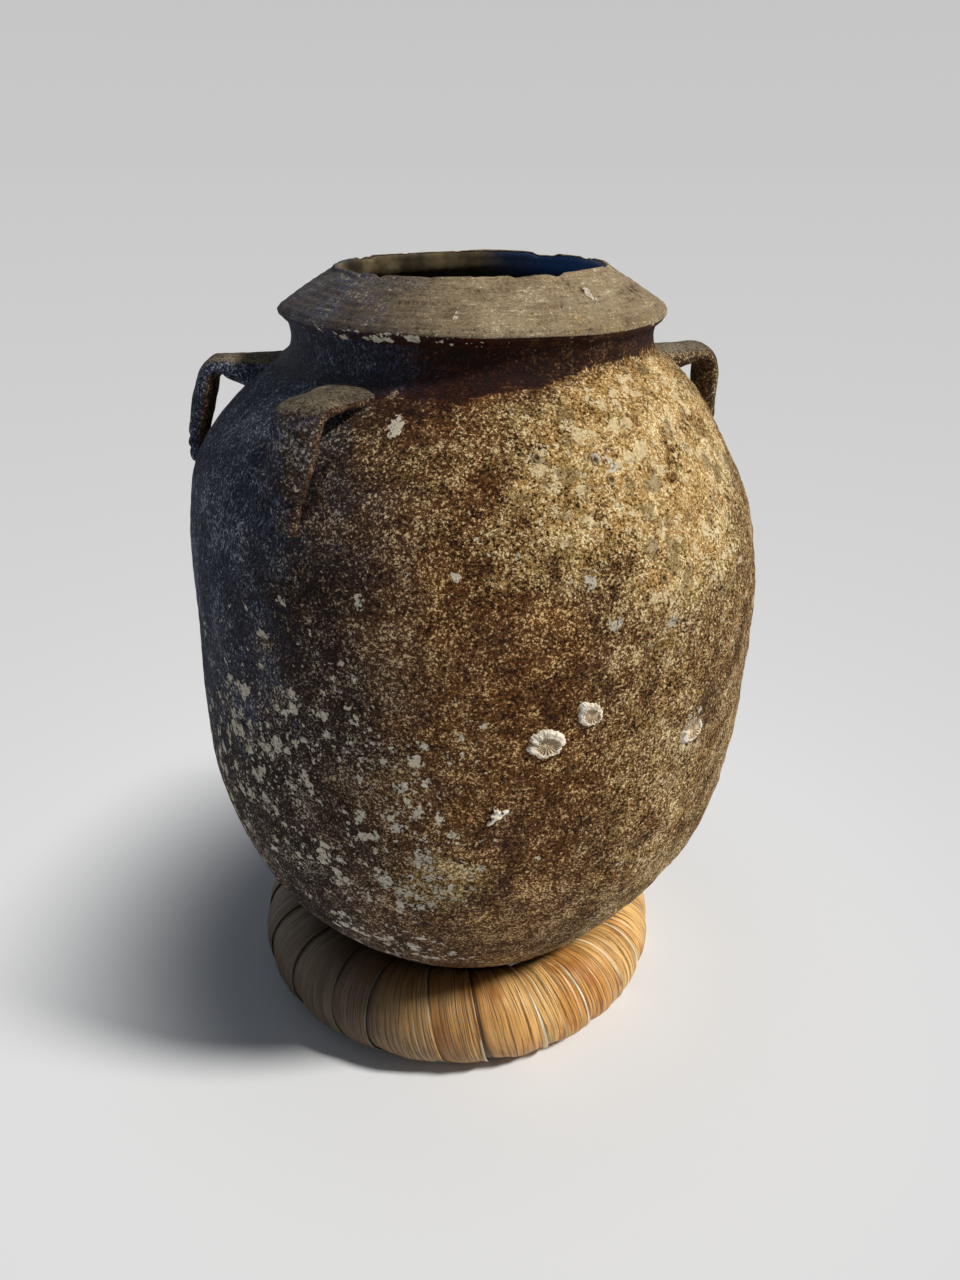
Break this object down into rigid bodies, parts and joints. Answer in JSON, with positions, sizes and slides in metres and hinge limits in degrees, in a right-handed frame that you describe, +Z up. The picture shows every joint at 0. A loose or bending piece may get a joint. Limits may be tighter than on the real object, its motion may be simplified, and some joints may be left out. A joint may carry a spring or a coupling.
{
  "type": "stoneware storage jar on a ring stand",
  "caption": "Tall rounded stoneware storage jar with a conical overhanging rim and strap lugs on its shoulder, resting on a leaf-wrapped straw ring.",
  "frame": {"origin": "on the floor under the jar's axis, which is the bottom centre of the bounding box", "axes": "+Z up along the jar's axis; -Y towards the viewer of the picture; +X to the viewer's right"},
  "size_m": [0.282, 0.2835, 0.3927],
  "materials": {
    "stoneware": "rough fired stoneware with granular sea crust",
    "rim_stoneware": "matt grey-brown stoneware with throwing lines",
    "shell": "chalky white shell",
    "straw": "packed dry straw",
    "leaf": "dry fibrous leaf strip"
  },
  "bodies": {
    "ring_stand": {"straw_core": "straw", "leaf_wrap": "leaf"},
    "jar": {"base_disc": "stoneware", "lower_wall": "stoneware", "upper_wall": "stoneware", "neck": "stoneware", "rim_collar": "rim_stoneware", "lug_front_left": "stoneware", "lug_left": "stoneware", "lug_right": "stoneware", "lug_back": "stoneware", "barnacle_large": "shell", "barnacle_small": "shell", "barnacle_side": "shell", "shell_fragment": "shell"}
  },
  "joints": [
    {"name": "jar_lift", "type": "slide", "parent": "ring_stand", "child": "jar", "axis": [0, 0, 1], "range_m": [0, 0.25]}
  ]
}
